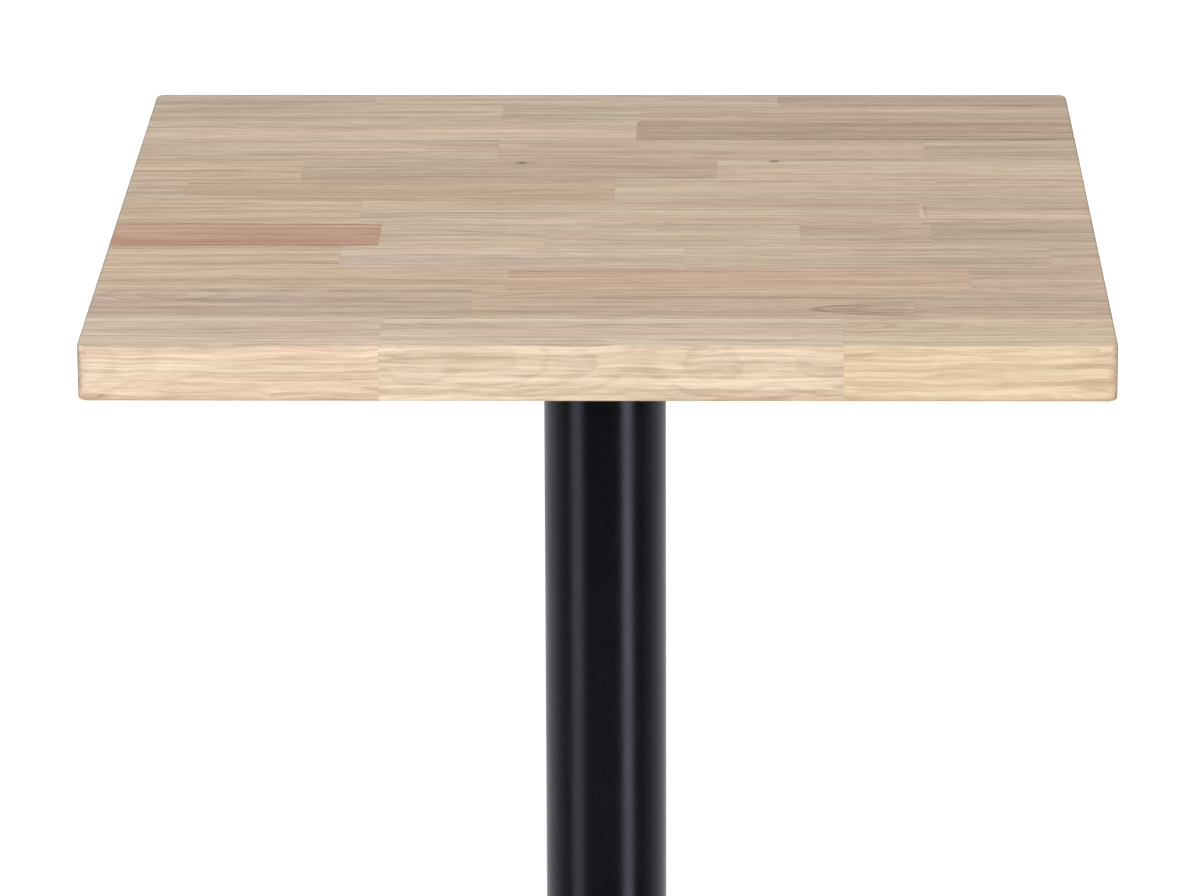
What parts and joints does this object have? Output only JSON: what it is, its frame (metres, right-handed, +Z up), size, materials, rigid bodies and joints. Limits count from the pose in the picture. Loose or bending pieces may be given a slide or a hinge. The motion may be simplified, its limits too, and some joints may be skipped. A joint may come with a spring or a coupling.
{
  "type": "bistro table",
  "caption": "Square butcher-block cafe table on a round black steel column, with a cast cross base on screw-in levelling glides.",
  "frame": {"origin": "on the floor, on the axis of the column and in the middle of the square top", "axes": "+Z up along the column; +X to the right along the staves of the top; +Y to the back, across the staves, so the front edge faces -Y"},
  "size_m": [0.6, 0.6, 0.75],
  "materials": {
    "butcher_block": "satin oiled",
    "black_casting": "black powder coat",
    "black_tube": "satin black powder coat",
    "zinc_steel": "zinc plated",
    "nylon": "matte"
  },
  "bodies": {
    "table": {"stave_01": "butcher_block", "stave_02": "butcher_block", "stave_03": "butcher_block", "stave_04": "butcher_block", "stave_05": "butcher_block", "stave_06": "butcher_block", "stave_07": "butcher_block", "stave_08": "butcher_block", "stave_09": "butcher_block", "stave_10": "butcher_block", "stave_11": "butcher_block", "stave_12": "butcher_block", "spider": "black_casting", "spider_screws": "zinc_steel", "column_tube": "black_tube", "tie_rod": "zinc_steel", "upper_rod_nut": "zinc_steel", "upper_rod_washer": "zinc_steel", "lower_rod_nut": "zinc_steel", "lower_lock_washer": "zinc_steel", "lower_rod_washer": "zinc_steel", "base_casting": "black_casting"},
    "pad_rear_right": {"glide_pad_rear_right": "nylon"},
    "stem_rear_right": {"glide_stem_rear_right": "zinc_steel"},
    "pad_rear_left": {"glide_pad_rear_left": "nylon"},
    "stem_rear_left": {"glide_stem_rear_left": "zinc_steel"},
    "pad_front_left": {"glide_pad_front_left": "nylon"},
    "stem_front_left": {"glide_stem_front_left": "zinc_steel"},
    "pad_front_right": {"glide_pad_front_right": "nylon"},
    "stem_front_right": {"glide_stem_front_right": "zinc_steel"}
  },
  "joints": [
    {"name": "glide_travel_rear_right", "type": "slide", "parent": "table", "child": "pad_rear_right", "axis": [0, 0, -1], "range_m": [0, 0.01]},
    {"name": "glide_screw_rear_right", "type": "hinge", "parent": "pad_rear_right", "child": "stem_rear_right", "pos_m": [0.18173, 0.18173, 0.014], "axis": [0, 0, -1], "range_deg": [0, 2400]},
    {"name": "glide_travel_rear_left", "type": "slide", "parent": "table", "child": "pad_rear_left", "axis": [0, 0, -1], "range_m": [0, 0.01]},
    {"name": "glide_screw_rear_left", "type": "hinge", "parent": "pad_rear_left", "child": "stem_rear_left", "pos_m": [-0.18173, 0.18173, 0.014], "axis": [0, 0, -1], "range_deg": [0, 2400]},
    {"name": "glide_travel_front_left", "type": "slide", "parent": "table", "child": "pad_front_left", "axis": [0, 0, -1], "range_m": [0, 0.01]},
    {"name": "glide_screw_front_left", "type": "hinge", "parent": "pad_front_left", "child": "stem_front_left", "pos_m": [-0.18173, -0.18173, 0.014], "axis": [0, 0, -1], "range_deg": [0, 2400]},
    {"name": "glide_travel_front_right", "type": "slide", "parent": "table", "child": "pad_front_right", "axis": [0, 0, -1], "range_m": [0, 0.01]},
    {"name": "glide_screw_front_right", "type": "hinge", "parent": "pad_front_right", "child": "stem_front_right", "pos_m": [0.18173, -0.18173, 0.014], "axis": [0, 0, -1], "range_deg": [0, 2400]}
  ],
  "couplings": [
    {"joint": "glide_screw_rear_right", "follows": "glide_travel_rear_right", "rad_per_m": 4188.8},
    {"joint": "glide_screw_rear_left", "follows": "glide_travel_rear_left", "rad_per_m": 4188.8},
    {"joint": "glide_screw_front_left", "follows": "glide_travel_front_left", "rad_per_m": 4188.8},
    {"joint": "glide_screw_front_right", "follows": "glide_travel_front_right", "rad_per_m": 4188.8}
  ]
}
